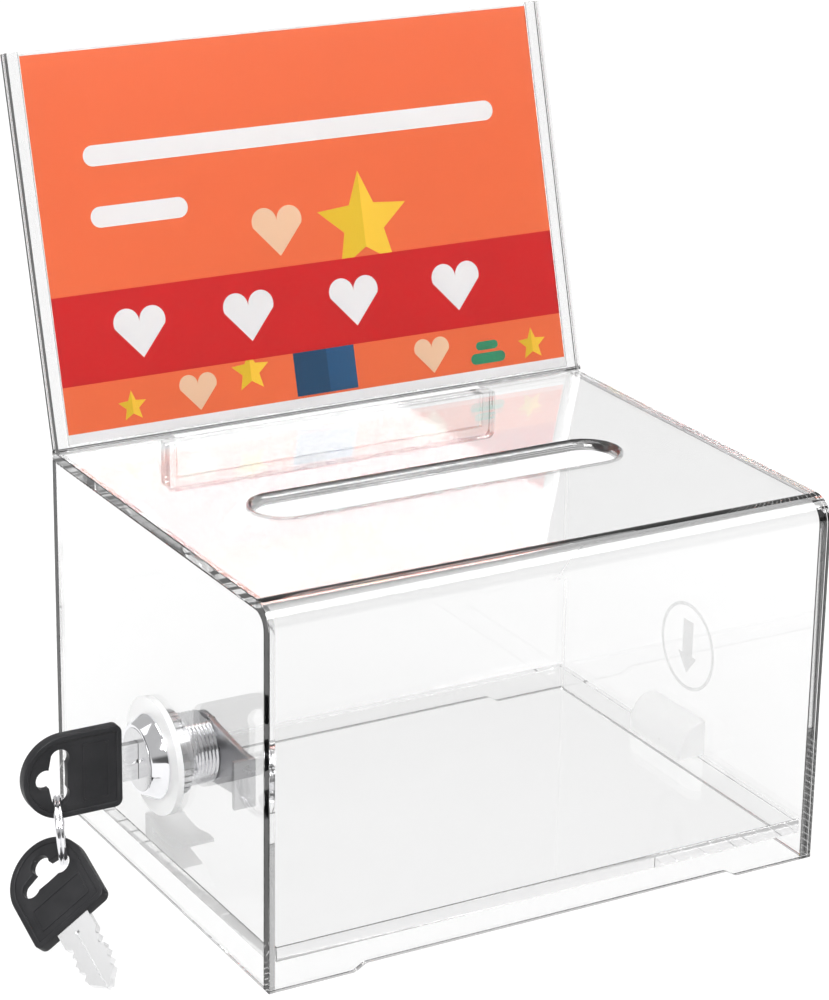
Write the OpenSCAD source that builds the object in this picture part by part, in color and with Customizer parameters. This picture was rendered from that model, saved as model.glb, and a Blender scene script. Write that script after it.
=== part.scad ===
// Clear donation box: bent front and top sheet with a coin slot, a drop-open floor,
// a cam lock with two keys on a split ring, and a lift-out sign holder.
// The origin is the centre of the footprint at the base. -Y is the front, +Z is up.

/* [Box] */
// Outside width of the box
box_w = 160; // [150:1:200]
// Outside depth of the box
box_d = 124; // [115:1:160]
// Outside height of the box
box_h = 100; // [95:1:140]
// Thickness of the acrylic sheets
sheet_t = 2.5; // [2.4:0.1:4]
// Outside radius of the bend between front and top
bend_r = 7; // [6:0.5:12]
// Height of the notch under the front and the back
notch_h = 1.8; // [1:0.1:3]
// Width of each corner foot beside the notch
foot_w = 23; // [15:1:35]

/* [Coin slot] */
// Length of the slot over its rounded rim
slot_len = 109; // [60:1:120]
// Width of the slot over its rounded rim
slot_w = 19.4; // [12:0.1:30]
// Radius of the rounded rim
slot_rim_r = 2.3; // [1:0.1:2.3]
// Place of the slot's centre line, front to back
slot_y = -1.5; // [-10:0.5:10]

/* [Floor] */
// Thickness of the floor plate
floor_t = 4; // [3:0.1:5]
// Height of the floor plate's underside
floor_z = 7; // [5:0.5:7]

/* [Sign] */
// Width of the printed card
card_w = 152.4; // [120:0.1:152.4]
// Height of the printed card
card_h = 101.6; // [60:0.1:101.6]
// Lean of the sign from upright
sign_lean = 15.7; // [0:0.1:20]
// Height of the sign holder along its slope
sign_h = 104.3; // [104:0.1:120]
// Depth of the tongue below the top of the box
tongue_depth = 12.9; // [8:0.1:12.9]

/* [Lock] */
// Height of the lock's axis
lock_z = 38.5; // [38.5:0.5:50]
// Diameter of the threaded barrel
barrel_d = 19; // [18:0.1:20]
// Reach of the cam from the lock's axis to its lip
cam_reach = 26; // [26:0.1:26.2]

/* [Keys] */
// Length of the moulded key head
head_l = 26.6; // [24:0.1:28]
// Width of the moulded key head
head_w = 22.2; // [20:0.1:24]
// Thickness of the moulded key head
head_t = 3.0; // [2.8:0.1:3.4]
// Width of the key blade
blade_w = 9.8; // [8:0.1:9.8]
// Length of the key blade
blade_l = 22; // [18:0.1:22]

/* [Hidden] */

$fn = 64;
eps = 1;                          // overrun of a cutter past the face it cuts
glue = 0.05;                      // gap left at a glued joint
half_w = box_w / 2;
half_d = box_d / 2;
top_z = box_h - sheet_t;          // underside of the top
wall_h = top_z - glue;            // height of the side and back walls
wall_x = half_w - sheet_t;        // inner face of a side wall
back_y = half_d - sheet_t;        // inner face of the back wall
bend_in_r = bend_r - sheet_t;
bend_y = bend_r - half_d;
bend_z = box_h - bend_r;
notch_ease = 4.5;                 // width of the notch's S-curve
notch_steps = 8;

slot_hole_r = slot_w / 2 - slot_rim_r;
slot_end_x = (slot_len - slot_w) / 2;

floor_gap = 0.5;
floor_top = floor_z + floor_t;
floor_x = wall_x - floor_gap;

pocket_w = 100;
pocket_strip = 3;
pocket_t = 2.4;
pocket_plate_t = 3;
pocket_floor = top_z - 10.5;
pocket_y = back_y - glue - pocket_t;

leaf_t = 2;
back_leaf_t = 1.5;
card_gap = 1;                     // thickness of the sign's spacer
card_t = 0.3;
side_strip = (box_w - card_w) / 2 - 0.1;
bottom_strip = 2;
tongue_gap = 0.2;
tongue_w = pocket_w - 2 * pocket_strip - 0.4;
sign_y = pocket_y + tongue_gap;   // front face of the tongue

lock_y = -1;
bezel_d = 22.3;
bezel_nose_d = 18;
bezel_l = 4.2;
washer_t = 1.65;
bezel_x = -half_w - glue - washer_t - glue;   // back face of the bezel
nose_x = bezel_x - bezel_l;                   // front face of the bezel and the plug
barrel_end = -65.6;
barrel_flat = 8.2;
plug_r = 6;
plug_head_r = 8.1;
plug_head_t = 2.5;
running = 0.05;                   // radial clearance of the plug in the housing
tail = 7;                         // across the flats of the cam's square
tail_end = -62.4;
cam_x = -65.5;
cam_t = 1.5;
cam_half_w = 6.5;
cam_hub_r = 9;
lip_x = -70;
keyway_w = 2.4;
blade_t = 2;

catch_arm_r = 24.3;
catch_arm_in_r = 22;
catch_x = -floor_x;

key_x = -90.5;                    // shoulder of key 1, where its blade starts
hole_r = 2.6;
hole_lobe_x = -16.7;
hole_lobe_y = 4.9;
hole_tip_x = -20.6;

wire_r = 0.6;
ring_r = 8.3;
ring_turn_gap = 0.5;
ring_pos = [-108.2, -3.72, 25.04];
ring_yaw = -22.1;                  // turn of the ring's axis about Z
ring_tilt = 85.3;                 // tilt of the ring's axis from Z
key_2_pos = [-113.6, -23.64, 9.56]; // shoulder of key 2

// ---- helpers ----

// A (y, z) outline run along X from x0 to x1.
module along_x(x0, x1) {
    translate([x0, 0, 0]) rotate([90, 0, 90]) linear_extrude(x1 - x0) children();
}

// An (x, z) outline run along Y from y0 to y1.
module along_y(y0, y1) {
    translate([0, y1, 0]) rotate([90, 0, 0]) linear_extrude(y1 - y0) children();
}

// A round bar on the lock's axis from x0 to x1, with end radii r0 and r1.
module lock_rod(x0, x1, r0, r1) {
    translate([x0, lock_y, lock_z]) rotate([0, 90, 0]) cylinder(h = x1 - x0, r1 = r0, r2 = r1);
}

module span(x0, x1, y0, y1) {
    translate([x0, y0]) square([x1 - x0, y1 - y0]);
}

module box_at(lo, hi) {
    translate(lo) cube(hi - lo);
}

// The notch between the feet, with an S-curve at each end.
module notch_outline() {
    foot_x = half_w - foot_w;
    left = [for (i = [0 : notch_steps])
        [-foot_x + notch_ease * i / notch_steps, notch_h * (1 - cos(180 * i / notch_steps)) / 2]];
    right = [for (i = [notch_steps : -1 : 0]) [-left[i][0], left[i][1]]];
    polygon(concat([[-foot_x, -eps]], left, right, [[foot_x, -eps]]));
}

// ---- box body ----

module slot_profile() {
    rim_z = sheet_t - slot_rim_r;
    difference() {
        union() {
            span(0, slot_hole_r, -eps, sheet_t + eps);
            span(0, slot_w / 2, rim_z, sheet_t + eps);
        }
        translate([slot_w / 2, rim_z]) circle(slot_rim_r);
    }
}

module coin_slot_cutter() {
    translate([0, slot_y, top_z]) {
        for (side = [-1, 1]) translate([side * slot_end_x, 0, 0]) rotate_extrude() slot_profile();
        along_x(-slot_end_x, slot_end_x) {
            slot_profile();
            mirror([1, 0]) slot_profile();
        }
    }
}

module front_top_outline() {
    span(-half_d, -half_d + sheet_t, 0, bend_z);
    span(bend_y, half_d, top_z, box_h);
    intersection() {
        difference() {
            translate([bend_y, bend_z]) circle(bend_r);
            translate([bend_y, bend_z]) circle(bend_in_r);
        }
        span(-half_d, bend_y, bend_z, box_h);
    }
}

module front_top_sheet() {
    slit = pocket_w / 2 - pocket_strip;
    color([0.9, 0.95, 0.98, 0.3]) difference() {
        along_x(-half_w, half_w) front_top_outline();
        coin_slot_cutter();
        box_at([-slit, pocket_y, top_z - eps], [slit, back_y - glue, box_h + eps]);
        along_y(-half_d - eps, -half_d + sheet_t + eps) notch_outline();
    }
}

// Side wall outline, its top front corner rounded to sit inside the bend.
module side_outline() {
    front = -half_d + sheet_t + glue;
    corner_r = bend_in_r - glue;
    span(front, back_y - glue, 0, bend_z);
    span(bend_y, back_y - glue, bend_z, wall_h);
    intersection() {
        translate([bend_y, bend_z]) circle(corner_r);
        span(front, bend_y, bend_z, wall_h);
    }
}

module left_wall() {
    color([0.9, 0.95, 0.98, 0.3]) difference() {
        along_x(-half_w, -wall_x) side_outline();
        lock_rod(-half_w - eps, -wall_x + eps, barrel_d / 2 + running, barrel_d / 2 + running);
    }
}

module right_wall() {
    color([0.9, 0.95, 0.98, 0.3]) along_x(wall_x, half_w) side_outline();
}

module back_wall() {
    color([0.9, 0.95, 0.98, 0.3]) difference() {
        box_at([-half_w, back_y, 0], [half_w, half_d, wall_h]);
        along_y(back_y - eps, half_d + eps) notch_outline();
    }
}

module pocket_outline() {
    corner_r = 2;
    low = pocket_floor - pocket_strip;
    half = pocket_w / 2;
    span(-half, half, low + corner_r, wall_h);
    span(-half + corner_r, half - corner_r, low, wall_h);
    for (side = [-1, 1]) translate([side * (half - corner_r), low + corner_r]) circle(corner_r);
}

module pocket_spacer() {
    inner = pocket_w / 2 - pocket_strip;
    color([0.9, 0.95, 0.98, 0.3]) along_y(pocket_y, back_y - glue) difference() {
        pocket_outline();
        span(-inner, inner, pocket_floor, top_z);
    }
}

module pocket_front_plate() {
    back = pocket_y - glue;
    color([0.9, 0.95, 0.98, 0.3]) along_y(back - pocket_plate_t, back) pocket_outline();
}

// A down arrow whose head sits inside a ring.
module arrow_mark() {
    ring_d = 25;
    line_w = 0.9;
    cy = -4;
    cz = 39.5;
    mark_t = 0.15;
    color("gray") along_x(wall_x - glue - mark_t, wall_x - glue) translate([cy, cz]) {
        difference() {
            circle(d = ring_d);
            circle(d = ring_d - 2 * line_w);
        }
        span(-2.25, 2.25, -2.5, 7.5);
        polygon([[-4.2, -2.5], [4.2, -2.5], [0, -7.7]]);
    }
}

// ---- floor ----

module base_plate() {
    front = -half_d + sheet_t + floor_gap;
    color([0.9, 0.95, 0.98, 0.3])
        box_at([-floor_x, front, floor_z], [floor_x, back_y - floor_gap, floor_top]);
}

module grip_block() {
    size = 8;
    rise = 10.5;
    x1 = floor_x + 0.2;
    flat = rise - size;
    color([0.95, 0.95, 0.95, 0.6]) along_y(-14.5, 10.5) {
        span(x1 - size, x1, floor_top + glue, floor_top + flat);
        intersection() {
            translate([x1, floor_top + flat]) circle(size);
            span(x1 - size, x1, floor_top + flat, floor_top + rise);
        }
    }
}

// Hook that the cam's lip passes under; its arm is concentric with the lock.
module lock_catch() {
    foot_z = floor_top + glue;
    tip_y = lock_y - 10.5;
    block_y = lock_y + 7;
    end_y = lock_y + 11;
    color([0.95, 0.95, 0.95, 0.6]) {
        along_x(catch_x, catch_x + 9) intersection() {
            difference() {
                translate([lock_y, lock_z]) circle(catch_arm_r);
                translate([lock_y, lock_z]) circle(catch_arm_in_r);
            }
            span(tip_y, end_y, floor_top, floor_top + 6.6);
        }
        along_x(catch_x, catch_x + 4) span(block_y, end_y, foot_z, floor_top + 5.8);
        along_x(catch_x, catch_x + 6)
            polygon([[end_y, foot_z], [tip_y, foot_z], [block_y, foot_z + 2.4], [end_y, foot_z + 2.4]]);
    }
}

// ---- sign, drawn upright and then leaned back about its lower front edge ----

module lean() {
    translate([0, sign_y, box_h]) rotate([-sign_lean, 0, 0]) children();
}

// Part of the leaning sign above the box, d0 to d1 behind its front face.
module leaf(d0, d1, low) {
    intersection() {
        lean() along_y(d0, d1) difference() {
            span(-half_w, half_w, low, sign_h);
            children();
        }
        box_at([-box_w, -box_d, box_h + glue], [box_w, box_d, box_h + 2 * sign_h]);
    }
}

module sign_front_leaf() {
    color([0.9, 0.95, 0.98, 0.3]) {
        leaf(0, leaf_t, -leaf_t);
        box_at([-tongue_w / 2, sign_y, box_h - tongue_depth],
               [tongue_w / 2, sign_y + leaf_t, box_h + 0.2]);
    }
}

module sign_spacer() {
    inner = half_w - side_strip;
    color([0.9, 0.95, 0.98, 0.3])
        leaf(leaf_t + 0.01, leaf_t + card_gap, -leaf_t) span(-inner, inner, bottom_strip, 2 * sign_h);
}

module sign_back_leaf() {
    front = leaf_t + card_gap + 0.01;
    color([0.9, 0.95, 0.98, 0.3]) leaf(front, front + back_leaf_t, -leaf_t);
}

module sign_card() {
    front = leaf_t + (card_gap - card_t) / 2;
    low = bottom_strip + 0.05;
    color("orangered") lean() along_y(front, front + card_t)
        span(-card_w / 2, card_w / 2, low, low + card_h);
}

// ---- lock ----

module lock_washer() {
    outer_r = 15.3;
    hole = barrel_d / 2 + running;
    color([0.95, 0.95, 0.95, 0.6]) difference() {
        lock_rod(-half_w - glue - washer_t, -half_w - glue, outer_r, outer_r);
        lock_rod(-half_w - eps - washer_t, -half_w + eps, hole, hole);
    }
}

module lock_housing() {
    bore = plug_r + running;
    head_bore = plug_head_r + running;
    rim = 0.6;
    color("silver") difference() {
        union() {
            lock_rod(nose_x, bezel_x - rim, bezel_nose_d / 2, bezel_d / 2);
            lock_rod(bezel_x - rim, bezel_x, bezel_d / 2, bezel_d / 2);
            intersection() {
                lock_rod(bezel_x, barrel_end, barrel_d / 2, barrel_d / 2);
                union() {
                    box_at([bezel_x - eps, lock_y - barrel_d, lock_z - barrel_flat],
                           [barrel_end + eps, lock_y + barrel_d, lock_z + barrel_flat]);
                    box_at([bezel_x - eps, lock_y - barrel_d, lock_z - barrel_d],
                           [-wall_x + 3, lock_y + barrel_d, lock_z + barrel_d]);
                }
            }
        }
        lock_rod(nose_x - eps, barrel_end + eps, bore, bore);
        lock_rod(nose_x - eps, nose_x + plug_head_t + 0.1, head_bore, head_bore);
    }
}

module lock_nut() {
    nut_r = 10.9;
    bore = barrel_d / 2 + running;
    knurls = 32;
    color("silver") difference() {
        lock_rod(-wall_x + glue, -wall_x + 4, nut_r, nut_r);
        lock_rod(-wall_x - eps, -wall_x + 4 + eps, bore, bore);
        for (i = [0 : knurls - 1])
            translate([-wall_x, lock_y, lock_z]) rotate([i * 360 / knurls, 0, 0])
                translate([-eps, nut_r - 0.35, -0.3]) cube([4 + 2 * eps, 1, 0.6]);
    }
}

module lock_plug() {
    slot_h = blade_w + 0.3;
    slot_end = key_x + blade_l + 0.6;
    screw_r = 1.75;
    color("silver") difference() {
        union() {
            lock_rod(nose_x, nose_x + plug_head_t, plug_head_r, plug_head_r);
            lock_rod(nose_x + plug_head_t - 0.1, barrel_end, plug_r, plug_r);
            box_at([barrel_end - 0.1, lock_y - tail / 2, lock_z - tail / 2],
                   [tail_end, lock_y + tail / 2, lock_z + tail / 2]);
        }
        box_at([nose_x - eps, lock_y - keyway_w / 2, lock_z - slot_h / 2],
               [slot_end, lock_y + keyway_w / 2, lock_z + slot_h / 2]);
        lock_rod(slot_end + 0.8, tail_end + eps, screw_r, screw_r);
    }
}

module square_hole(x0, x1) {
    half = tail / 2 + running;
    box_at([x0, lock_y - half, lock_z - half], [x1, lock_y + half, lock_z + half]);
}

// Flat arm that points to the front when unlocked, with a lip bent toward the wall.
module lock_cam() {
    tip_y = lock_y - cam_reach;
    hub_taper = 7.5;
    color("gray") difference() {
        union() {
            lock_rod(cam_x, cam_x + cam_t, cam_hub_r, cam_hub_r);
            along_x(cam_x, cam_x + cam_t) polygon([
                [lock_y, lock_z - hub_taper - 1.4], [tip_y + 6, lock_z - cam_half_w],
                [tip_y, lock_z - cam_half_w], [tip_y, lock_z + cam_half_w],
                [tip_y + 6, lock_z + cam_half_w], [lock_y, lock_z + hub_taper + 1.4]]);
            box_at([lip_x, tip_y, lock_z - cam_half_w],
                   [cam_x + cam_t, tip_y + cam_t, lock_z + cam_half_w]);
        }
        square_hole(cam_x - eps, cam_x + cam_t + eps);
    }
}

module cam_washer() {
    across_r = 7.4;
    washer_x = cam_x + cam_t + glue;
    color("dimgray") difference() {
        translate([washer_x, lock_y, lock_z]) rotate([0, 90, 0])
            cylinder(h = 1.4, r = across_r, $fn = 6);
        square_hole(washer_x - eps, washer_x + 1.4 + eps);
    }
}

module cam_screw() {
    head_x = tail_end + glue;
    head_h = 2.2;
    screw_r = 1.7;
    recess_w = 0.9;
    color("silver") difference() {
        union() {
            lock_rod(head_x, head_x + head_h, 4.6, 3.9);
            lock_rod(tail_end - 3.5, head_x + eps, screw_r, screw_r);
        }
        for (turn = [0, 90]) translate([head_x + head_h, lock_y, lock_z]) rotate([turn, 0, 0])
            translate([-1, -2.4, -recess_w / 2]) cube([2, 4.8, recess_w]);
    }
}

// ---- keys: local X runs from the head to the tip, the shoulder is at x = 0 ----

// Three-lobed hole through a key head.
module head_hole() {
    for (side = [-1, 1]) translate([hole_lobe_x, side * hole_lobe_y]) circle(hole_r, $fn = 32);
    translate([hole_tip_x, 0]) circle(hole_r, $fn = 32);
    translate([hole_lobe_x - 1.1, 0]) circle(3.3, $fn = 32);
}

module head_outline() {
    corner_r = 2;
    half = head_w / 2;
    translate([half - head_l, 0]) circle(half);
    span(half - head_l, -corner_r, -half, half);
    span(-corner_r - eps, 0, -half + corner_r, half - corner_r);
    for (side = [-1, 1]) translate([-corner_r, side * (half - corner_r)]) circle(corner_r, $fn = 32);
}

module key_head() {
    panel_depth = 0.35;
    difference() {
        translate([0, 0, -head_t / 2]) linear_extrude(head_t) difference() {
            head_outline();
            head_hole();
        }
        for (side = [-1, 1]) translate([-9, -7.5, side * head_t / 2 - panel_depth])
            cube([5.5, 15, 2 * panel_depth]);
        box_at([-3.05, -blade_w / 2 - running, -blade_t / 2 - running],
               [eps, blade_w / 2 + running, blade_t / 2 + running]);
    }
}

// Flat blade with cuts on both edges, a centre groove and a pointed tip.
module key_blade() {
    half = blade_w / 2;
    cut_pitch = 2.6;
    cut_d = [0.9, 1.5, 0.6, 1.2, 1.6];
    first_cut = 7;
    difference() {
        translate([0, 0, -blade_t / 2]) linear_extrude(blade_t) difference() {
            union() {
                span(-3, blade_l - half, -half, half);
                polygon([[blade_l - half - 0.1, -half], [blade_l - 1.5, -1.6], [blade_l, -0.6],
                         [blade_l, 0.6], [blade_l - 1.5, 1.6], [blade_l - half - 0.1, half]]);
            }
            for (i = [0 : len(cut_d) - 1], side = [-1, 1])
                let (depth = side > 0 ? cut_d[i] : cut_d[len(cut_d) - 1 - i],
                     x = first_cut + i * cut_pitch)
                polygon([[x - 1.1 - depth / 2, side * (half + 0.1)], [x - 0.5, side * (half - depth)],
                         [x + 0.5, side * (half - depth)], [x + 1.1 + depth / 2, side * (half + 0.1)]]);
        }
        for (side = [-1, 1]) translate([3, -0.5, side * blade_t / 2 - 0.5])
            cube([blade_l, 1, 1]);
    }
}

module place_key_1() {
    translate([key_x, lock_y, lock_z]) rotate([90, 0, 0]) children();
}

// Key 2 hangs forward and down from the ring, its tip on the table.
module place_key_2() {
    u = [0, -0.94, -0.342];
    w = [0.711, -0.242, 0.661];
    along = u / norm(u);
    normal = cross(along, w) / norm(cross(along, w));
    across = cross(normal, along);
    multmatrix([[along[0], across[0], normal[0], key_2_pos[0]],
                [along[1], across[1], normal[1], key_2_pos[1]],
                [along[2], across[2], normal[2], key_2_pos[2]],
                [0, 0, 0, 1]]) children();
}

module key_1_blade() {
    color("silver") place_key_1() key_blade();
}

module key_1_head() {
    color([0.1, 0.1, 0.1]) place_key_1() key_head();
}

module key_2_blade() {
    color("silver") place_key_2() key_blade();
}

module key_2_head() {
    color([0.1, 0.1, 0.1]) place_key_2() key_head();
}

// Two turns of wire, side by side.
module split_ring() {
    color("silver") translate(ring_pos) rotate([0, 0, ring_yaw]) rotate([0, ring_tilt, 0])
        rotate_extrude() translate([ring_r, 0]) {
            for (side = [-1, 1]) translate([0, side * ring_turn_gap]) circle(wire_r, $fn = 24);
        }
}

front_top_sheet();
left_wall();
right_wall();
back_wall();
pocket_spacer();
pocket_front_plate();
arrow_mark();
base_plate();
grip_block();
lock_catch();
sign_front_leaf();
sign_spacer();
sign_back_leaf();
sign_card();
lock_washer();
lock_housing();
lock_nut();
lock_plug();
lock_cam();
cam_washer();
cam_screw();
key_1_blade();
key_1_head();
split_ring();
key_2_blade();
key_2_head();
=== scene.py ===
import math

import bmesh
import bpy
from mathutils import Matrix, Vector


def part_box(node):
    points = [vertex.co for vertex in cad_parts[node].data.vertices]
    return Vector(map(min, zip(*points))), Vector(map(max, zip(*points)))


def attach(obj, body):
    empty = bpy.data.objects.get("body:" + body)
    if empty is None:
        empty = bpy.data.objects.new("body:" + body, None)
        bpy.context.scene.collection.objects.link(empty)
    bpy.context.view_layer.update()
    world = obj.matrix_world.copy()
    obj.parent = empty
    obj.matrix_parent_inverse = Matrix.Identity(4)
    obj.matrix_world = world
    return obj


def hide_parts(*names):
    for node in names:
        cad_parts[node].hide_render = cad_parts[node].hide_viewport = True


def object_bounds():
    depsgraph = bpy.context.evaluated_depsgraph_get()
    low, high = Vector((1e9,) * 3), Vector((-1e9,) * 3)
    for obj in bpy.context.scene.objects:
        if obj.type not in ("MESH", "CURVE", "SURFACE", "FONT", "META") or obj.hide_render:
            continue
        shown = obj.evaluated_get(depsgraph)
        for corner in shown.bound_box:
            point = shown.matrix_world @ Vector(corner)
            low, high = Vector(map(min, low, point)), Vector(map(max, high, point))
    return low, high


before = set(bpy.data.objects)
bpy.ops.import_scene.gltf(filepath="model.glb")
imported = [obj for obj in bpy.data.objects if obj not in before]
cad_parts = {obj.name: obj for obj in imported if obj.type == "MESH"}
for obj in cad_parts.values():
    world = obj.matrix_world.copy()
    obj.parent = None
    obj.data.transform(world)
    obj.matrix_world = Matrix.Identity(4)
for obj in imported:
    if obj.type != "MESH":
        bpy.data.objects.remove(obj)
CAD_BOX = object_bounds()
MM = 0.001

# ---- sizes shared by several pieces, in metres ----
SIGN_LEAN = math.radians(15.7)
CARD_W = 0.1524
CARD_H = 0.1016
PRINT_LIFT = 0.00003
LAYER_GAP = 0.000005
BEND_R = 0.007
SLOT_Y = -0.0015
SLOT_HALF_WIDTH = 0.0097
SLOT_HALF_RUN = 0.0448


# ---- node helpers ----

def material(name):
    mat = bpy.data.materials.new(name)
    mat.use_nodes = True
    return mat, mat.node_tree, mat.node_tree.nodes["Principled BSDF"]


def node(tree, kind, **values):
    made = tree.nodes.new(kind)
    for key, value in values.items():
        setattr(made, key, value)
    return made


def object_coords(tree, scale=(1, 1, 1)):
    coords = node(tree, "ShaderNodeTexCoord")
    mapping = node(tree, "ShaderNodeMapping")
    mapping.inputs["Scale"].default_value = scale
    tree.links.new(coords.outputs["Object"], mapping.inputs["Vector"])
    return mapping.outputs["Vector"]


def noise(tree, scale, detail=3.0, stretch=(1, 1, 1)):
    made = node(tree, "ShaderNodeTexNoise")
    made.inputs["Scale"].default_value = scale
    made.inputs["Detail"].default_value = detail
    tree.links.new(object_coords(tree, stretch), made.inputs["Vector"])
    return made.outputs["Fac"]


def mapped(tree, source, low, high):
    made = node(tree, "ShaderNodeMapRange")
    made.inputs["To Min"].default_value = low
    made.inputs["To Max"].default_value = high
    tree.links.new(source, made.inputs["Value"])
    return made.outputs["Result"]


def mixed_colour(tree, source, dark, light):
    made = node(tree, "ShaderNodeMix", data_type="RGBA")
    made.inputs[6].default_value = (*dark, 1)
    made.inputs[7].default_value = (*light, 1)
    tree.links.new(source, made.inputs[0])
    return made.outputs[2]


def bump(tree, bsdf, source, distance, strength=1.0):
    made = node(tree, "ShaderNodeBump")
    made.inputs["Strength"].default_value = strength
    made.inputs["Distance"].default_value = distance
    tree.links.new(source, made.inputs["Height"])
    tree.links.new(made.outputs["Normal"], bsdf.inputs["Normal"])


# ---- materials ----

def clear_acrylic(name, clarity, rough_low=0.0, rough_high=0.03):
    """Clear polished sheet; clarity is the share of light that its colour lets through."""
    mat, tree, bsdf = material(name)
    bsdf.inputs["Base Color"].default_value = (clarity, clarity, clarity, 1)
    bsdf.inputs["IOR"].default_value = 1.49
    bsdf.inputs["Transmission Weight"].default_value = 1.0
    tree.links.new(mapped(tree, noise(tree, 35), rough_low, rough_high), bsdf.inputs["Roughness"])
    bump(tree, bsdf, noise(tree, 18, 1.0), 0.00002, 0.15)
    return mat


def maths(tree, operation, first, second=None):
    made = node(tree, "ShaderNodeMath", operation=operation)
    for socket, value in zip(made.inputs, (first, second)):
        if isinstance(value, (int, float)):
            socket.default_value = value
        elif value is not None:
            tree.links.new(value, socket)
    return made.outputs[0]


def ramp_between(tree, source, stops):
    """Grey ramp with its stops given as (position, grey)."""
    made = node(tree, "ShaderNodeValToRGB")
    elements = made.color_ramp.elements
    while len(elements) < len(stops):
        elements.new(0.5)
    for element, (position, grey) in zip(elements, stops):
        element.position = position
        element.color = (grey, grey, grey, 1)
    tree.links.new(source, made.inputs["Fac"])
    return made.outputs["Color"]


def acrylic_with_painted_shade(name, clarity, rim_shade_tone, bend_shade_tone):
    """Clear sheet with painted shade: its base colour is darker in a band round the slot rim and across
    the heated bend than on the flat parts.
    """
    mat = clear_acrylic(name, clarity)
    tree = mat.node_tree
    bsdf = tree.nodes["Principled BSDF"]
    place = node(tree, "ShaderNodeSeparateXYZ")
    tree.links.new(object_coords(tree), place.inputs["Vector"])
    from_middle = maths(tree, "ABSOLUTE", place.outputs["X"])
    past_end = maths(tree, "MAXIMUM", maths(tree, "SUBTRACT", from_middle, SLOT_HALF_RUN), 0.0)
    off_line = maths(tree, "SUBTRACT", place.outputs["Y"], SLOT_Y)
    past_squared = maths(tree, "MULTIPLY", past_end, past_end)
    off_squared = maths(tree, "MULTIPLY", off_line, off_line)
    reach = maths(tree, "SQRT", maths(tree, "ADD", past_squared, off_squared))
    reach_share = maths(tree, "DIVIDE", reach, 2 * SLOT_HALF_WIDTH)
    # Painted shade: the base colour drops to the rim tone in a band round the slot.
    rim_shade_stops = [(0.0, rim_shade_tone), (0.485, rim_shade_tone), (0.5, clarity), (1.0, clarity)]
    rim = ramp_between(tree, reach_share, rim_shade_stops)
    front_y = CAD_BOX[0][1]
    behind_front = maths(tree, "SUBTRACT", place.outputs["Y"], front_y)
    half_share = maths(tree, "DIVIDE", behind_front, 2 * BEND_R)
    # Painted shade: the base colour darkens towards the bend tone across the bend, then is clear again.
    bend = ramp_between(tree, half_share, [(0.0, 1.0), (0.17, 1.0), (0.485, bend_shade_tone), (0.5, 1.0)])
    both = node(tree, "ShaderNodeMix", data_type="RGBA", blend_type="MULTIPLY")
    both.inputs[0].default_value = 1.0
    tree.links.new(rim, both.inputs[6])
    tree.links.new(bend, both.inputs[7])
    tree.links.new(both.outputs[2], bsdf.inputs["Base Color"])
    return mat


def milky_plastic(name, glow):
    """Cloudy translucent plastic; glow stands in for the light scattered inside it."""
    mat, tree, bsdf = material(name)
    bsdf.inputs["IOR"].default_value = 1.46
    bsdf.inputs["Transmission Weight"].default_value = 0.6
    bsdf.inputs["Emission Color"].default_value = (1, 1, 1, 1)
    bsdf.inputs["Emission Strength"].default_value = glow
    cloud = noise(tree, 160)
    tree.links.new(mixed_colour(tree, cloud, (0.95, 0.95, 0.95), (0.99, 0.99, 0.99)),
                   bsdf.inputs["Base Color"])
    tree.links.new(mapped(tree, cloud, 0.22, 0.42), bsdf.inputs["Roughness"])
    bump(tree, bsdf, noise(tree, 900), 0.00005, 0.3)
    return mat


def metal(name, dark, light, rough, grain_scale=400, stretch=(1, 1, 1), bump_depth=0.00001):
    mat, tree, bsdf = material(name)
    bsdf.inputs["Metallic"].default_value = 1.0
    grain = noise(tree, grain_scale, 4.0, stretch)
    tree.links.new(mixed_colour(tree, grain, dark, light), bsdf.inputs["Base Color"])
    tree.links.new(mapped(tree, grain, rough * 0.6, rough * 1.5), bsdf.inputs["Roughness"])
    bump(tree, bsdf, grain, bump_depth, 0.4)
    return mat


def moulded_black(name):
    mat, tree, bsdf = material(name)
    grain = noise(tree, 1500, 5.0)
    wear = noise(tree, 120, 3.0)
    tree.links.new(mixed_colour(tree, wear, (0.008, 0.008, 0.009), (0.03, 0.03, 0.032)),
                   bsdf.inputs["Base Color"])
    tree.links.new(mapped(tree, grain, 0.28, 0.5), bsdf.inputs["Roughness"])
    bsdf.inputs["Specular IOR Level"].default_value = 0.17
    bump(tree, bsdf, grain, 0.00008, 0.35)
    return mat


def ink(name, dark, light, cover=1.0):
    """Matt print with a fine fibre grain; cover below 1 lets the sheet behind show."""
    mat, tree, bsdf = material(name)
    bsdf.inputs["Alpha"].default_value = cover
    fibre = noise(tree, 2500, 4.0)
    tree.links.new(mixed_colour(tree, fibre, dark, light), bsdf.inputs["Base Color"])
    tree.links.new(mapped(tree, fibre, 0.35, 0.6), bsdf.inputs["Roughness"])
    bump(tree, bsdf, fibre, 0.00001, 0.2)
    return mat


SHEET_CLARITY = 0.935
ACRYLIC = clear_acrylic("acrylic", SHEET_CLARITY)
CLEARER_ACRYLIC = clear_acrylic("acrylic_clearer", 0.998)
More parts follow.
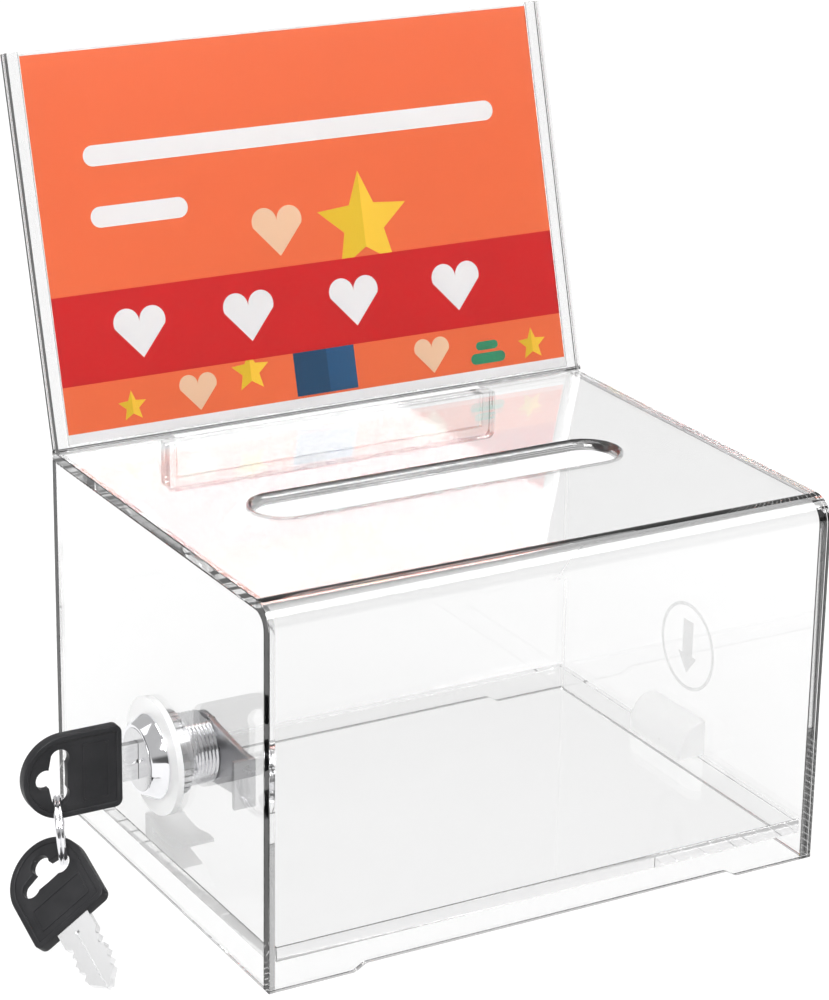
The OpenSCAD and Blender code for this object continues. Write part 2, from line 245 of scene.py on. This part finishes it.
# Clear acrylic with painted shade round the slot and along the bend.
PAINTED_SHADE_ACRYLIC = acrylic_with_painted_shade("acrylic_painted_shade", SHEET_CLARITY, rim_shade_tone=0.35, bend_shade_tone=0.2)
MILKY = milky_plastic("milky", glow=0.05)
MILKY_GRIP = milky_plastic("milky_grip", glow=0.14)
CHROME = metal("chrome_bright", (0.78, 0.78, 0.8), (0.86, 0.86, 0.88), 0.06)
PLUG = metal("chrome_satin", (0.6, 0.6, 0.61), (0.74, 0.74, 0.75), 0.22, 250, (1, 6, 6))
ZINC = metal("zinc", (0.42, 0.42, 0.43), (0.62, 0.62, 0.63), 0.3, 180)
DARK_STEEL = metal("dark_steel_finish", (0.08, 0.08, 0.085), (0.16, 0.16, 0.17), 0.35, 300)
NICKEL = metal("nickel", (0.7, 0.7, 0.71), (0.9, 0.9, 0.9), 0.2, 300, (1, 12, 12))
BLACK = moulded_black("moulded_black")
MARK = ink("mark_grey", (0.5, 0.51, 0.52), (0.6, 0.61, 0.62), cover=0.16)

LOOKS = {
    "front_top_sheet": PAINTED_SHADE_ACRYLIC, "left_wall": ACRYLIC, "right_wall": ACRYLIC, "back_wall": ACRYLIC,
    "pocket_spacer": ACRYLIC, "pocket_front_plate": ACRYLIC, "base_plate": CLEARER_ACRYLIC,
    "sign_front_leaf": CLEARER_ACRYLIC, "sign_spacer": CLEARER_ACRYLIC, "sign_back_leaf": CLEARER_ACRYLIC,
    "grip_block": MILKY_GRIP, "lock_catch": MILKY, "lock_washer": MILKY, "arrow_mark": MARK,
    "lock_housing": CHROME, "lock_nut": ZINC, "lock_plug": PLUG, "lock_cam": ZINC,
    "cam_washer": DARK_STEEL, "cam_screw": ZINC, "split_ring": CHROME,
    "key_1_blade": NICKEL, "key_2_blade": NICKEL, "key_1_head": BLACK, "key_2_head": BLACK,
}
for name, look in LOOKS.items():
    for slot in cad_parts[name].material_slots:
        slot.material = look


# ---- mesh helpers ----

def new_piece(name, verts, faces, look, smooth=False):
    mesh = bpy.data.meshes.new(name)
    mesh.from_pydata(verts, [], faces)
    mesh.validate()
    mesh.materials.append(look)
    for face in mesh.polygons:
        face.use_smooth = smooth
    piece = bpy.data.objects.new(name, mesh)
    bpy.context.collection.objects.link(piece)
    return piece


def middle_of(name):
    low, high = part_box(name)
    return (Vector(low) + Vector(high)) / 2


def shade_by_angle(mesh, degrees=35):
    for face in mesh.polygons:
        face.use_smooth = True
    mesh.set_sharp_from_angle(angle=math.radians(degrees))


def stand_for(piece, name, body):
    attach(piece, body)
    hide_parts(name)


def curve_mesh(name, splines, depth=0.0, bevel=0.0, resolution=3, flat=True):
    """Mesh from closed outlines (flat) or open paths swept with a round section."""
    curve = bpy.data.curves.new(name, "CURVE")
    curve.dimensions = "2D" if flat else "3D"
    if flat:
        curve.fill_mode = "BOTH"
        curve.extrude = depth / 2 - bevel
        curve.offset = -bevel
    else:
        curve.use_fill_caps = True
    curve.bevel_depth = bevel
    curve.bevel_resolution = resolution
    for points in splines:
        spline = curve.splines.new("POLY")
        spline.points.add(len(points) - 1)
        for target, point in zip(spline.points, points):
            xyz = (*point, 0.0) if flat else point
            target.co = (*xyz, 1.0)
        spline.use_cyclic_u = flat
    holder = bpy.data.objects.new(name + "_curve", curve)
    bpy.context.collection.objects.link(holder)
    shape = bpy.data.meshes.new_from_object(holder.evaluated_get(bpy.context.evaluated_depsgraph_get()))
    bpy.data.objects.remove(holder)
    bpy.data.curves.remove(curve)
    return shape


def clean(mesh):
    build = bmesh.new()
    build.from_mesh(mesh)
    bmesh.ops.remove_doubles(build, verts=build.verts, dist=0.000001)
    bmesh.ops.recalc_face_normals(build, faces=build.faces)
    build.to_mesh(mesh)
    build.free()


# ---- lock housing: conical bezel, threaded barrel with two flats ----

THREAD_PITCH = 0.001
THREAD_DEPTH = 0.0004
BARREL_FLAT = 0.0082
BARREL_R = 0.0095


def lock_housing():
    low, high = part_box("lock_housing")
    axis_y, axis_z = (low[1] + high[1]) / 2, (low[2] + high[2]) / 2
    nose, end = low[0], high[0]
    bezel_back = nose + 0.0042
    flat_from = bezel_back + 0.0073
    bore, head_bore = 0.00605, 0.00815
    rings = [(nose + 0.0001, head_bore), (nose, 0.0086), (nose + 0.0001, 0.0089), (nose + 0.0004, 0.00915),
             (bezel_back - 0.0009, 0.01095), (bezel_back - 0.0006, 0.0111), (bezel_back - 0.0003, 0.01114),
             (bezel_back - 0.0001, 0.0111), (bezel_back, 0.0109), (bezel_back, BARREL_R)]
    first_thread = len(rings)
    steps = int((end - bezel_back) / THREAD_PITCH * 8)
    rings += [(bezel_back + (end - bezel_back) * (i + 1) / steps, BARREL_R) for i in range(steps)]
    last_thread = len(rings)
    rings += [(end, bore), (nose + 0.0026, bore), (nose + 0.0026, head_bore)]
    count = 96
    verts, faces = [], []
    for index, (x, r) in enumerate(rings):
        for i in range(count):
            angle = 2 * math.pi * i / count
            reach = r
            if first_thread <= index < last_thread:
                turn = (x / THREAD_PITCH - i / count) % 1.0
                reach = r - THREAD_DEPTH * abs(2 * turn - 1)
                if x > flat_from:
                    reach = min(reach, BARREL_FLAT / max(abs(math.sin(angle)), 0.01))
            verts.append((x, axis_y + reach * math.cos(angle), axis_z + reach * math.sin(angle)))
    total = len(rings)
    for index in range(total):
        after = (index + 1) % total
        for i in range(count):
            j = (i + 1) % count
            faces.append((index * count + i, index * count + j, after * count + j, after * count + i))
    piece = new_piece("lock_shell", verts, faces, CHROME)
    clean(piece.data)
    shade_by_angle(piece.data, 32)
    stand_for(piece, "lock_housing", "box")


lock_housing()

# ---- key heads: local X towards the tip, the shoulder at x = 0, built in metres ----

HEAD_L = 0.0266
HEAD_HALF = 0.0111
HEAD_T = 0.003
RIM_W = 0.0016
LOBES = [(-0.0167, 0.0049, 0.0026), (-0.0206, 0.0, 0.0026), (-0.0167, -0.0049, 0.0026)]


def head_outline(inset=0.0):
    """D-shaped outline, round towards the ring and square towards the blade."""
    r = HEAD_HALF - inset
    corner = max(0.002 - inset, 0.0004)
    middle_x = HEAD_HALF - HEAD_L
    right = -inset
    points = [(middle_x + r * math.cos(math.radians(a)), r * math.sin(math.radians(a)))
              for a in range(90, 271, 6)]
    points += [(right - corner + corner * math.cos(math.radians(a)),
                -r + corner + corner * math.sin(math.radians(a))) for a in range(-90, 1, 15)]
    points += [(right - corner + corner * math.cos(math.radians(a)),
                r - corner + corner * math.sin(math.radians(a))) for a in range(0, 91, 15)]
    return points


def hole_outline():
    """Three lobes joined by waists."""
    waist = 0.0021
    points = []
    spans = [(-40, 150), (70, 290), (210, 400)]
    for (x, y, r), (start, stop) in zip(LOBES, spans):
        steps = 14
        for i in range(steps + 1):
            angle = math.radians(start + (stop - start) * i / steps)
            points.append((x + r * math.cos(angle), y + r * math.sin(angle)))
    points.append((LOBES[0][0] + waist, 0.0))
    return points


def rounded_rect(x0, y0, x1, y1, r):
    corners = [(x1 - r, y0 + r, -90), (x1 - r, y1 - r, 0), (x0 + r, y1 - r, 90), (x0 + r, y0 + r, 180)]
    points = []
    for x, y, start in corners:
        for i in range(5):
            angle = math.radians(start + 90 * i / 4)
            points.append((x + r * math.cos(angle), y + r * math.sin(angle)))
    return points


def key_head_mesh(name):
    """Plate with a raised rim and a thin label frame, both sides alike."""
    plate_t = HEAD_T - 0.0007
    shape = curve_mesh(name, [head_outline(0.0003), hole_outline()], plate_t, 0.0003)
    rim = curve_mesh(name + "_rim", [head_outline(), head_outline(RIM_W)], HEAD_T, 0.00035)
    label_out = rounded_rect(-0.0108, -0.0078, -0.0036, 0.0078, 0.0007)
    label_in = rounded_rect(-0.0103, -0.0073, -0.0041, 0.0073, 0.0005)
    frame_t = plate_t + 0.0003
    label = curve_mesh(name + "_label", [label_out, label_in], frame_t, 0.0001, 1)
    joined = bmesh.new()
    for part in (shape, rim, label):
        joined.from_mesh(part)
    joined.to_mesh(shape)
    joined.free()
    clean(shape)
    return shape


KEY_2_ALONG = Vector((0, -0.94, -0.342)).normalized()
KEY_2_NORMAL = KEY_2_ALONG.cross(Vector((0.711, -0.242, 0.661))).normalized()
KEY_2_TURN = Matrix((KEY_2_ALONG, KEY_2_NORMAL.cross(KEY_2_ALONG), KEY_2_NORMAL)).transposed()
KEY_1_TURN = Matrix.Rotation(math.radians(90), 3, "X")


def place_like(mesh, turn, name):
    """Turns a mesh and moves it so that its box has the same middle as the CAD node's."""
    for vert in mesh.vertices:
        vert.co = turn @ vert.co
    lows = [min(v.co[i] for v in mesh.vertices) for i in range(3)]
    highs = [max(v.co[i] for v in mesh.vertices) for i in range(3)]
    shift = middle_of(name) - (Vector(lows) + Vector(highs)) / 2
    for vert in mesh.vertices:
        vert.co = vert.co + shift


def key_head(name, turn, cad_node, body):
    mesh = key_head_mesh(name)
    place_like(mesh, turn, cad_node)
    mesh.materials.clear()
    mesh.materials.append(BLACK)
    shade_by_angle(mesh, 40)
    piece = bpy.data.objects.new(name, mesh)
    bpy.context.collection.objects.link(piece)
    stand_for(piece, cad_node, body)


key_head("key_1_moulding", KEY_1_TURN, "key_1_head", "key_1")
key_head("key_2_moulding", KEY_2_TURN, "key_2_head", "key_2")

# ---- split ring: two turns of one wire ----

RING_R = 0.0083
WIRE_R = 0.0006
RING_TURN = Matrix.Rotation(math.radians(-22.1), 3, "Z") @ Matrix.Rotation(math.radians(85.3), 3, "Y")


def split_ring():
    points = []
    turns = 120
    for i in range(turns + 1):
        share = i / turns
        cross = min(max((share - 0.46) / 0.08, 0), 1)
        side = -0.5 + cross * cross * (3 - 2 * cross)
        angle = 4 * math.pi * share * 0.995 + 1.0
        points.append((RING_R * math.cos(angle), RING_R * math.sin(angle), side * 0.001))
    mesh = curve_mesh("ring_wire", [points], bevel=WIRE_R, resolution=3, flat=False)
    place_like(mesh, RING_TURN, "split_ring")
    clean(mesh)
    mesh.materials.clear()
    mesh.materials.append(CHROME)
    shade_by_angle(mesh, 50)
    piece = bpy.data.objects.new("ring_wire", mesh)
    bpy.context.collection.objects.link(piece)
    stand_for(piece, "split_ring", "ring")


split_ring()

# ---- sheets, blocks and cam: the CAD shapes with their sharp edges eased ----

EDGE_EASE = 0.00022


def eased(name, body, look=ACRYLIC, ease=EDGE_EASE, flat=False):
    """Bevelled copy of a CAD node in its place; a mesh that isn't closed stays as CAD."""
    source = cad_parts[name]
    build = bmesh.new()
    build.from_mesh(source.data)
    bmesh.ops.remove_doubles(build, verts=build.verts, dist=0.000002)
    bmesh.ops.dissolve_limit(build, angle_limit=math.radians(0.6), verts=build.verts, edges=build.edges)
    sharp = [e for e in build.edges if len(e.link_faces) == 2 and e.calc_face_angle(0) > math.radians(35)]
    bmesh.ops.bevel(build, geom=sharp, offset=ease, segments=2, profile=0.5, affect="EDGES",
                    clamp_overlap=True)
    bmesh.ops.recalc_face_normals(build, faces=build.faces)
    open_edges = [e for e in build.edges if len(e.link_faces) != 2]
    if open_edges:
        print("left as CAD:", name, len(open_edges))
        build.free()
        return
    mesh = bpy.data.meshes.new(name + "_eased")
    build.to_mesh(mesh)
    build.free()
    mesh.materials.append(look)
    shade_by_angle(mesh, 20)
    for face in mesh.polygons:
        if flat or max(abs(c) for c in face.normal) > 0.9999:
            face.use_smooth = False
    piece = bpy.data.objects.new(name + "_eased", mesh)
    bpy.context.collection.objects.link(piece)
    stand_for(piece, name, body)


eased("front_top_sheet", "box", PAINTED_SHADE_ACRYLIC)
for sheet in ("left_wall", "right_wall", "back_wall", "pocket_spacer", "pocket_front_plate"):
    eased(sheet, "box")
for sheet in ("sign_front_leaf", "sign_spacer", "sign_back_leaf"):
    eased(sheet, "sign", CLEARER_ACRYLIC, flat=True)
eased("base_plate", "floor", CLEARER_ACRYLIC)
eased("grip_block", "floor", MILKY_GRIP, 0.0004)
eased("lock_catch", "floor", MILKY, 0.0002)
eased("lock_cam", "lock_core", ZINC, 0.0003)

# ---- the printed card: points (x, s) with s up the card's slope from its lower edge ----

CARD_T = 0.0003
CARD_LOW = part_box("sign_card")[0]
CARD_UP = Vector((0, math.sin(SIGN_LEAN), math.cos(SIGN_LEAN)))
CARD_OUT = Vector((0, -math.cos(SIGN_LEAN), math.sin(SIGN_LEAN)))
# middle of the lower edge of the printed face
CARD_ORIGIN = Vector((0, CARD_LOW[1], CARD_LOW[2] + CARD_T * math.sin(SIGN_LEAN)))


def card_point(x, s, lift):
    return CARD_ORIGIN + Vector((x, 0, 0)) + CARD_UP * s + CARD_OUT * lift


def print_shape(name, outlines, look, layer):
    """A thin raised ink layer from flat outlines, given as lists of (x, s) in millimetres."""
    mesh = bpy.data.meshes.new(name)
    build = bmesh.new()
    low = PRINT_LIFT * (layer - 1) + LAYER_GAP
    high = PRINT_LIFT * layer - LAYER_GAP
    for outline in outlines:
        ring_low = [build.verts.new(card_point(x * MM, s * MM, low)) for x, s in outline]
        ring_high = [build.verts.new(card_point(x * MM, s * MM, high)) for x, s in outline]
        count = len(outline)
        build.faces.new(ring_high)
        build.faces.new(ring_low[::-1])
        for i in range(count):
            j = (i + 1) % count
            build.faces.new((ring_low[i], ring_low[j], ring_high[j], ring_high[i]))
    bmesh.ops.recalc_face_normals(build, faces=build.faces)
    bmesh.ops.triangulate(build, faces=[f for f in build.faces if len(f.verts) > 4])
    build.to_mesh(mesh)
    build.free()
    mesh.materials.append(look)
    piece = bpy.data.objects.new(name, mesh)
    bpy.context.collection.objects.link(piece)
    piece.visible_glossy = False
    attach(piece, "card")
    return piece


def rect(x0, s0, x1, s1):
    return [(x0, s0), (x1, s0), (x1, s1), (x0, s1)]


def disc(x, s, r, count=32, start=0.0, sweep=360.0):
    steps = count if sweep == 360.0 else count + 1
    return [(x + r * math.cos(math.radians(start + sweep * i / count)),
             s + r * math.sin(math.radians(start + sweep * i / count))) for i in range(steps)]


def star(x, s, r, turn=90.0, inner=0.45):
    points = []
    for i in range(10):
        reach = r if i % 2 == 0 else r * inner
        angle = math.radians(turn + 36 * i)
        points.append((x + reach * math.cos(angle), s + reach * math.sin(angle)))
    return points


def star_halves(x, s, r):
    """A five-pointed star split down the middle into a shaded and a lit half."""
    points = star(x, s, r)
    top, foot = points[0], (x, s - r * 0.45)
    return [top] + points[1:5] + [foot], [top, foot] + points[6:]


def heart(x, s, size, count=14):
    """Two round lobes over a point, size wide."""
    r = size / 4
    left = disc(x - r, s, r, count, 0, 200)
    right = disc(x + r, s, r, count, -20, 200)
    return right[:-1] + [(x, s)] + left[1:] + [(x, s - 2.55 * r)]


def bar(x0, s0, x1, s1):
    """A bar with round ends."""
    r = (s1 - s0) / 2
    return disc(x1 - r, s0 + r, r, 12, -90, 180) + disc(x0 + r, s0 + r, r, 12, 90, 180)


ORANGE = ink("ink_orange", (0.86, 0.14, 0.04), (0.92, 0.165, 0.05))
RED = ink("ink_red", (0.6, 0.0, 0.001), (0.68, 0.001, 0.002))
YELLOW = ink("ink_yellow", (0.95, 0.58, 0.03), (1.0, 0.64, 0.05))
OCHRE = ink("ink_ochre", (0.78, 0.5, 0.015), (0.85, 0.56, 0.02))
WHITE = ink("ink_white", (0.97, 0.97, 0.97), (1.0, 1.0, 1.0))
NAVY = ink("ink_navy", (0.006, 0.05, 0.12), (0.01, 0.07, 0.17))
PEACH = ink("ink_peach", (0.9, 0.58, 0.36), (0.96, 0.64, 0.42))
BLUE = ink("ink_blue", (0.012, 0.08, 0.2), (0.018, 0.1, 0.24))
GREEN = ink("ink_green", (0.02, 0.25, 0.12), (0.03, 0.32, 0.16))

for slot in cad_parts["sign_card"].material_slots:
    slot.material = WHITE


def card_print():
    """A plain charity-drive design of stars, hearts, a leaf and a blue block, with no lettering."""
    half = CARD_W / MM / 2
    height = CARD_H / MM
    print_shape("print_ground", [rect(-half + 0.2, 2.6, half - 0.2, height - 0.4)], ORANGE, 1)
    stars = [(17.5, 47.3, 14.3), (-21.7, 12.0, 5.8), (66.0, 7.6, 4.6), (-57.0, 7.6, 4.2)]
    shaded, lit = zip(*[star_halves(*place) for place in stars])
    print_shape("print_star_shaded", shaded, OCHRE, 2)
    print_shape("print_star_lit", lit, YELLOW, 2)
    hearts = [(-8.5, 51.0, 15), (-37.5, 10.8, 11), (34.0, 10.8, 11)]
    print_shape("print_hearts", [heart(*place) for place in hearts], PEACH, 2)
    print_shape("print_jar_dark", [rect(-8.6, 3.2, 1.5, 15)], NAVY, 2)
    print_shape("print_jar_light", [rect(1.5, 3.2, 10, 15)], BLUE, 2)
    print_shape("print_leaf", [bar(46, 4.2, 57, 7.2), bar(48, 8.0, 55, 10.4)], GREEN, 2)
    print_shape("print_band", [rect(-half + 0.2, 15, half - 0.2, 38.4)], RED, 3)
    rows = [bar(-62, 71, 62, 76.5), bar(-62, 55, -34, 60.5)]
    print_shape("print_bars", rows, WHITE, 2)
    print_shape("print_band_hearts", [heart(x, 29.5, 15) for x in (-52, -20, 12, 44)], WHITE, 4)


card_print()

# ---- camera ----

CAMERA_AT = Vector((-0.39866, -0.68306, 0.38135))
CAMERA_YAW = math.radians(29.87)
CAMERA_PITCH = math.radians(20.03)
CAMERA_ROLL = math.radians(0.97)
LENS_MM = 117.72
SENSOR_MM = 36.0


def add_camera():
    look = Vector((math.sin(CAMERA_YAW) * math.cos(CAMERA_PITCH),
                   math.cos(CAMERA_YAW) * math.cos(CAMERA_PITCH), -math.sin(CAMERA_PITCH)))
    level = Vector((math.cos(CAMERA_YAW), -math.sin(CAMERA_YAW), 0))
    above = level.cross(look)
    right = math.cos(CAMERA_ROLL) * level + math.sin(CAMERA_ROLL) * above
    up = math.cos(CAMERA_ROLL) * above - math.sin(CAMERA_ROLL) * level
    data = bpy.data.cameras.new("camera")
    data.lens = LENS_MM
    data.sensor_width = SENSOR_MM
    data.clip_start = 0.01
    data.clip_end = 50.0
    camera = bpy.data.objects.new("camera", data)
    rotation = Matrix((right, up, -look)).transposed()
    camera.matrix_world = Matrix.Translation(CAMERA_AT) @ rotation.to_4x4()
    bpy.context.collection.objects.link(camera)
    bpy.context.scene.camera = camera


add_camera()

# ---- floor and light ----

FLOOR_GLOW = 0.97
ROOM_GREY = (0.56, 0.56, 0.56)
# the dark band: its grey, its middle, how far it is squeezed flat, and where it fades in and is full
BAND_GREY = (0.12, 0.12, 0.12)
BAND_TOWARDS = (0, -1, 0)
BAND_STARTS = 0.45
BAND_FULL = 0.7
BAND_HEIGHT = 0.12
BAND_SQUEEZE = 6.0


def add_floor():
    half = 6.0
    mat, tree, bsdf = material("floor_paper")
    grain = noise(tree, 60, 2.0)
    tree.links.new(mixed_colour(tree, grain, (0.09, 0.09, 0.09), (0.11, 0.11, 0.11)),
                   bsdf.inputs["Base Color"])
    bsdf.inputs["Roughness"].default_value = 0.9
    bsdf.inputs["Specular IOR Level"].default_value = 0.0
    bsdf.inputs["Emission Color"].default_value = (1, 1, 1, 1)
    bsdf.inputs["Emission Strength"].default_value = FLOOR_GLOW
    z = -0.0002
    floor = new_piece("floor", [(-half, -half, z), (half, -half, z), (half, half, z), (-half, half, z)],
                      [(0, 1, 2, 3)], mat)


def add_backdrop():
    """White wall round the floor's edge, seen by the camera only."""
    mat, tree, bsdf = material("backdrop_paper")
    bsdf.inputs["Base Color"].default_value = (0.1, 0.1, 0.1, 1)
    bsdf.inputs["Specular IOR Level"].default_value = 0.0
    bsdf.inputs["Emission Color"].default_value = (1, 1, 1, 1)
    tree.links.new(mapped(tree, noise(tree, 2, 1.0), 0.96, 1.0), bsdf.inputs["Emission Strength"])
    count, radius, height, foot = 64, 5.8, 9.0, -0.01
    ring = [(radius * math.cos(2 * math.pi * i / count), radius * math.sin(2 * math.pi * i / count))
            for i in range(count)]
    verts = [(x, y, foot) for x, y in ring] + [(x, y, height) for x, y in ring]
    faces = [(i, (i + 1) % count, count + (i + 1) % count, count + i) for i in range(count)]
    wall = new_piece("backdrop", verts, faces, mat, True)
    wall.visible_glossy = False
    wall.visible_diffuse = False
    wall.visible_transmission = False
    wall.visible_shadow = False


# name, place, width, height, watts
SOFTBOXES = [("key_light", (-0.9, -1.3, 1.5), 0.9, 0.9, 51),
             ("bend_light", (0.95, -0.7, 1.65), 1.4, 0.5, 22),
             ("top_light", (0, 0.1, 1.9), 1.2, 1.2, 18),
             ("left_light", (-1.2, 0.9, 1.4), 0.8, 0.8, 2)]
LIGHT_TARGET = (0, 0, 0.08)


def add_softbox(name, at, width, height, power):
    data = bpy.data.lights.new(name, "AREA")
    data.shape = "RECTANGLE"
    data.size = width
    data.size_y = height
    data.energy = power
    lamp = bpy.data.objects.new(name, data)
    lamp.location = at
    aim = Vector(LIGHT_TARGET) - Vector(at)
    lamp.rotation_euler = aim.to_track_quat("-Z", "Y").to_euler()
    lamp.visible_camera = False
    bpy.context.collection.objects.link(lamp)


def add_world():
    """Grey room with a dark band in front of the object, low over the horizon."""
    world = bpy.data.worlds.new("studio")
    world.use_nodes = True
    tree = world.node_tree
    background = tree.nodes["Background"]
    coords = node(tree, "ShaderNodeTexCoord")
    squeeze = node(tree, "ShaderNodeMapping")
    squeeze.inputs["Scale"].default_value = (1, 1, BAND_SQUEEZE)
    squeeze.inputs["Location"].default_value = (0, 0, -BAND_HEIGHT * BAND_SQUEEZE)
    unit = node(tree, "ShaderNodeVectorMath", operation="NORMALIZE")
    facing = node(tree, "ShaderNodeVectorMath", operation="DOT_PRODUCT")
    facing.inputs[1].default_value = BAND_TOWARDS
    ramp = node(tree, "ShaderNodeValToRGB")
    tree.links.new(coords.outputs["Generated"], squeeze.inputs["Vector"])
    tree.links.new(squeeze.outputs["Vector"], unit.inputs[0])
    tree.links.new(unit.outputs["Vector"], facing.inputs[0])
    tree.links.new(facing.outputs["Value"], ramp.inputs["Fac"])
    ramp.color_ramp.elements[0].position = BAND_STARTS
    ramp.color_ramp.elements[0].color = (*ROOM_GREY, 1)
    ramp.color_ramp.elements[1].position = BAND_FULL
    ramp.color_ramp.elements[1].color = (*BAND_GREY, 1)
    tree.links.new(ramp.outputs["Color"], background.inputs["Color"])
    background.inputs["Strength"].default_value = 1.0
    bpy.context.scene.world = world


add_floor()
add_backdrop()
add_world()
for softbox in SOFTBOXES:
    add_softbox(*softbox)

scene = bpy.context.scene
scene.view_settings.view_transform = "Standard"
scene.view_settings.look = "None"
scene.cycles.max_bounces = 40
scene.cycles.glossy_bounces = 20
scene.cycles.transmission_bounces = 36
scene.cycles.transparent_max_bounces = 16
